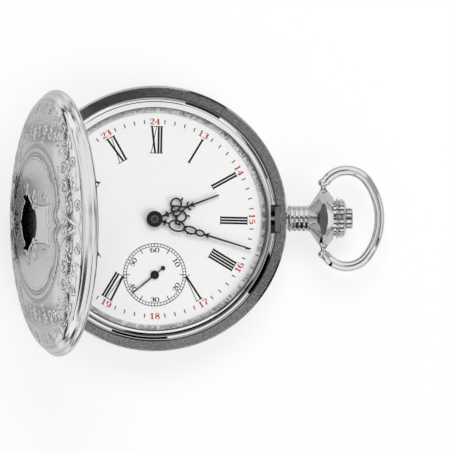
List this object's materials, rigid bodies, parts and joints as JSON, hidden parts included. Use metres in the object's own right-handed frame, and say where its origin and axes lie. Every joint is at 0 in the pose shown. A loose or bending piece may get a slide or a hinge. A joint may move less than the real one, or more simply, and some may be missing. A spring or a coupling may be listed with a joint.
{
  "type": "full hunter pocket watch",
  "caption": "Full hunter pocket watch with two engraved hinged covers, dust cover, enamel dial with small seconds, keyless winding and a visible bridge movement.",
  "frame": {"origin": "on the hand axis, where the flat in the back cover's middle touches the surface that the watch lies on", "axes": "+X from the hand axis to three o'clock, the crown and the bow; +Y to twelve o'clock; +Z out of the dial towards the reader"},
  "size_m": [0.0676, 0.048, 0.0553],
  "materials": {
    "case_silver": "polished silver, covers engraved with scrolls",
    "cuvette_silver": "polished silver, plain",
    "glass": "clear mineral glass",
    "enamel": "white vitreous enamel with printed numerals",
    "black_steel": "blackened steel",
    "spring_steel": "tempered spring steel",
    "blued_steel": "heat-blued polished steel",
    "gasket_rubber": "matt",
    "polished_steel": "polished steel",
    "gilt_brass": "gilded brass",
    "gilt_plate": "frosted gilding",
    "nickel_bridge": "nickelled brass with fine stripes",
    "ruby": "polished synthetic ruby"
  },
  "bodies": {
    "case": {"mid_case": "case_silver", "bezel": "case_silver", "crystal": "glass", "front_hinge_pin": "case_silver", "back_hinge_pin": "case_silver", "lift_spring": "spring_steel", "case_spring_screws": "blued_steel", "pendant": "case_silver", "dial": "enamel", "case_screws": "blued_steel", "main_plate": "gilt_plate", "barrel_bridge": "nickel_bridge", "train_bridge": "nickel_bridge", "pallet_bridge": "nickel_bridge", "balance_cock": "nickel_bridge", "hairspring": "spring_steel", "jewels": "ruby", "bridge_screws": "blued_steel", "click_screw": "blued_steel", "click_spring": "blued_steel", "crown_wheel_screw": "blued_steel"},
    "front_cover": {"front_cover": "case_silver"},
    "back_cover": {"back_cover": "case_silver"},
    "cuvette": {"cuvette": "cuvette_silver"},
    "bow": {"bow": "case_silver"},
    "push_sleeve": {"push_sleeve": "spring_steel"},
    "lock_spring": {"lock_spring": "spring_steel"},
    "gasket": {"crown_gasket": "gasket_rubber"},
    "crown": {"crown": "case_silver", "crown_cap": "case_silver", "winding_stem": "polished_steel"},
    "winding": {"winding_pinion": "polished_steel"},
    "clutch": {"sliding_pinion": "polished_steel"},
    "crown_wheel": {"crown_wheel": "polished_steel"},
    "ratchet": {"ratchet_wheel": "polished_steel", "barrel_arbor": "polished_steel", "ratchet_screw": "blued_steel"},
    "setting_lever": {"setting_lever": "polished_steel"},
    "yoke": {"yoke": "polished_steel"},
    "centre": {"centre_wheel": "gilt_brass", "cannon_pinion": "polished_steel", "minute_hand": "black_steel"},
    "third": {"third_wheel": "gilt_brass"},
    "fourth": {"fourth_wheel": "gilt_brass", "seconds_hand": "black_steel"},
    "escape": {"escape_wheel": "polished_steel"},
    "barrel": {"barrel": "gilt_brass", "barrel_cover": "gilt_brass", "mainspring": "spring_steel"},
    "minute_wheel": {"minute_wheel": "gilt_brass"},
    "setting_wheel": {"setting_wheel": "gilt_brass"},
    "hour": {"hour_wheel": "gilt_brass", "hour_hand": "black_steel"},
    "fork": {"pallet_fork": "polished_steel", "pallet_stones": "ruby"},
    "balance": {"balance": "gilt_brass", "balance_staff": "polished_steel"},
    "regulator": {"regulator": "polished_steel"},
    "click": {"click": "polished_steel"}
  },
  "joints": [
    {"name": "front_open", "type": "hinge", "parent": "case", "child": "front_cover", "pos_m": [-0.02405, 0, 0.00928], "axis": [0, -1, 0], "range_deg": [-72.6, 17.4], "stiffness_Nm_per_rad": 0.01, "springref_deg": 1.99},
    {"name": "back_open", "type": "hinge", "parent": "case", "child": "back_cover", "pos_m": [-0.02405, 0, 0.00522], "axis": [0, 1, 0], "range_deg": [0, 95]},
    {"name": "cuvette_open", "type": "hinge", "parent": "case", "child": "cuvette", "pos_m": [-0.02405, 0, 0.00522], "axis": [0, 1, 0], "range_deg": [0, 85.5]},
    {"name": "bow_swing", "type": "hinge", "parent": "case", "child": "bow", "pos_m": [0.03055, 0, 0.00725], "axis": [0, 1, 0], "range_deg": [-120, 120]},
    {"name": "crown_press", "type": "slide", "parent": "case", "child": "push_sleeve", "axis": [-1, 0, 0], "range_m": [0, 0.00045], "stiffness_N_per_m": 2000},
    {"name": "lock_turn", "type": "hinge", "parent": "case", "child": "lock_spring", "pos_m": [0.01391, -0.01781, 0.00725], "axis": [0, 0, 1], "range_deg": [0, 1.47]},
    {"name": "crown_pull", "type": "slide", "parent": "push_sleeve", "child": "gasket", "axis": [1, 0, 0], "range_m": [0, 0.0007]},
    {"name": "crown_turn", "type": "hinge", "parent": "gasket", "child": "crown", "pos_m": [0.0312, 0, 0.00725], "axis": [1, 0, 0], "continuous": true},
    {"name": "winding_turn", "type": "hinge", "parent": "case", "child": "winding", "pos_m": [0.01435, 0, 0.00725], "axis": [1, 0, 0], "continuous": true},
    {"name": "clutch_slide", "type": "slide", "parent": "winding", "child": "clutch", "axis": [-1, 0, 0], "range_m": [0, 0.00045]},
    {"name": "crown_wheel_turn", "type": "hinge", "parent": "case", "child": "crown_wheel", "pos_m": [0.01155, 0, 0.0041], "axis": [0, 0, -1], "continuous": true},
    {"name": "ratchet_turn", "type": "hinge", "parent": "case", "child": "ratchet", "pos_m": [0.0038, 0.00816, 0.0041], "axis": [0, 0, -1], "continuous": true},
    {"name": "setting_lever_turn", "type": "hinge", "parent": "case", "child": "setting_lever", "pos_m": [0.0157, -0.0036, 0.00725], "axis": [0, 0, -1], "range_deg": [0, 11.3]},
    {"name": "yoke_turn", "type": "hinge", "parent": "case", "child": "yoke", "pos_m": [0.01345, -0.0052, 0.00725], "axis": [0, 0, 1], "range_deg": [0, 7]},
    {"name": "minute_turn", "type": "hinge", "parent": "case", "child": "centre", "pos_m": [0, 0, 0.00715], "axis": [0, 0, -1], "continuous": true},
    {"name": "third_turn", "type": "hinge", "parent": "case", "child": "third", "pos_m": [0.00343, -0.00581, 0.0065], "axis": [0, 0, -1], "continuous": true},
    {"name": "seconds_turn", "type": "hinge", "parent": "case", "child": "fourth", "pos_m": [0, -0.01014, 0.0065], "axis": [0, 0, -1], "continuous": true},
    {"name": "escape_turn", "type": "hinge", "parent": "case", "child": "escape", "pos_m": [-0.00455, -0.01179, 0.0065], "axis": [0, 0, -1], "continuous": true},
    {"name": "barrel_turn", "type": "hinge", "parent": "case", "child": "barrel", "pos_m": [0.0038, 0.00816, 0.0065], "axis": [0, 0, -1], "continuous": true},
    {"name": "minute_wheel_turn", "type": "hinge", "parent": "case", "child": "minute_wheel", "pos_m": [0.00272, -0.00127, 0.0065], "axis": [0, 0, -1], "continuous": true},
    {"name": "setting_wheel_turn", "type": "hinge", "parent": "case", "child": "setting_wheel", "pos_m": [0.00822, -0.00049, 0.0065], "axis": [0, 0, -1], "continuous": true},
    {"name": "hour_turn", "type": "hinge", "parent": "case", "child": "hour", "pos_m": [0, 0, 0.0065], "axis": [0, 0, -1], "continuous": true},
    {"name": "fork_swing", "type": "hinge", "parent": "case", "child": "fork", "pos_m": [-0.00701, -0.00978, 0.0059], "axis": [0, 0, 1], "range_deg": [-5, 5]},
    {"name": "balance_swing", "type": "hinge", "parent": "case", "child": "balance", "pos_m": [-0.0109, -0.0066, 0.005], "axis": [0, 0, 1], "range_deg": [-270, 270], "stiffness_Nm_per_rad": 0.0000005},
    {"name": "regulator_turn", "type": "hinge", "parent": "case", "child": "regulator", "pos_m": [-0.0109, -0.0066, 0.0037], "axis": [0, 0, 1], "range_deg": [-20, 20]},
    {"name": "click_swing", "type": "hinge", "parent": "case", "child": "click", "pos_m": [-0.00367, 0.00467, 0.0041], "axis": [0, 0, 1], "range_deg": [0, 10]}
  ],
  "couplings": [
    {"joint": "cuvette_open", "follows": "back_open", "ratio": 0.9},
    {"joint": "lock_turn", "follows": "crown_press", "rad_per_m": 56.151},
    {"joint": "winding_turn", "follows": "crown_turn", "ratio": 1},
    {"joint": "clutch_slide", "follows": "crown_pull", "ratio": 0.64286},
    {"joint": "crown_wheel_turn", "follows": "crown_turn", "ratio": -0.42857},
    {"joint": "ratchet_turn", "follows": "crown_turn", "ratio": 0.28571},
    {"joint": "setting_lever_turn", "follows": "crown_pull", "rad_per_m": 277.78},
    {"joint": "yoke_turn", "follows": "crown_pull", "rad_per_m": 166.98},
    {"joint": "third_turn", "follows": "minute_turn", "ratio": -8},
    {"joint": "seconds_turn", "follows": "minute_turn", "ratio": 60},
    {"joint": "escape_turn", "follows": "minute_turn", "ratio": -600},
    {"joint": "barrel_turn", "follows": "minute_turn", "ratio": -0.125},
    {"joint": "minute_wheel_turn", "follows": "minute_turn", "ratio": -0.33333},
    {"joint": "setting_wheel_turn", "follows": "minute_turn", "ratio": 0.22727},
    {"joint": "hour_turn", "follows": "minute_turn", "ratio": 0.083333}
  ]
}
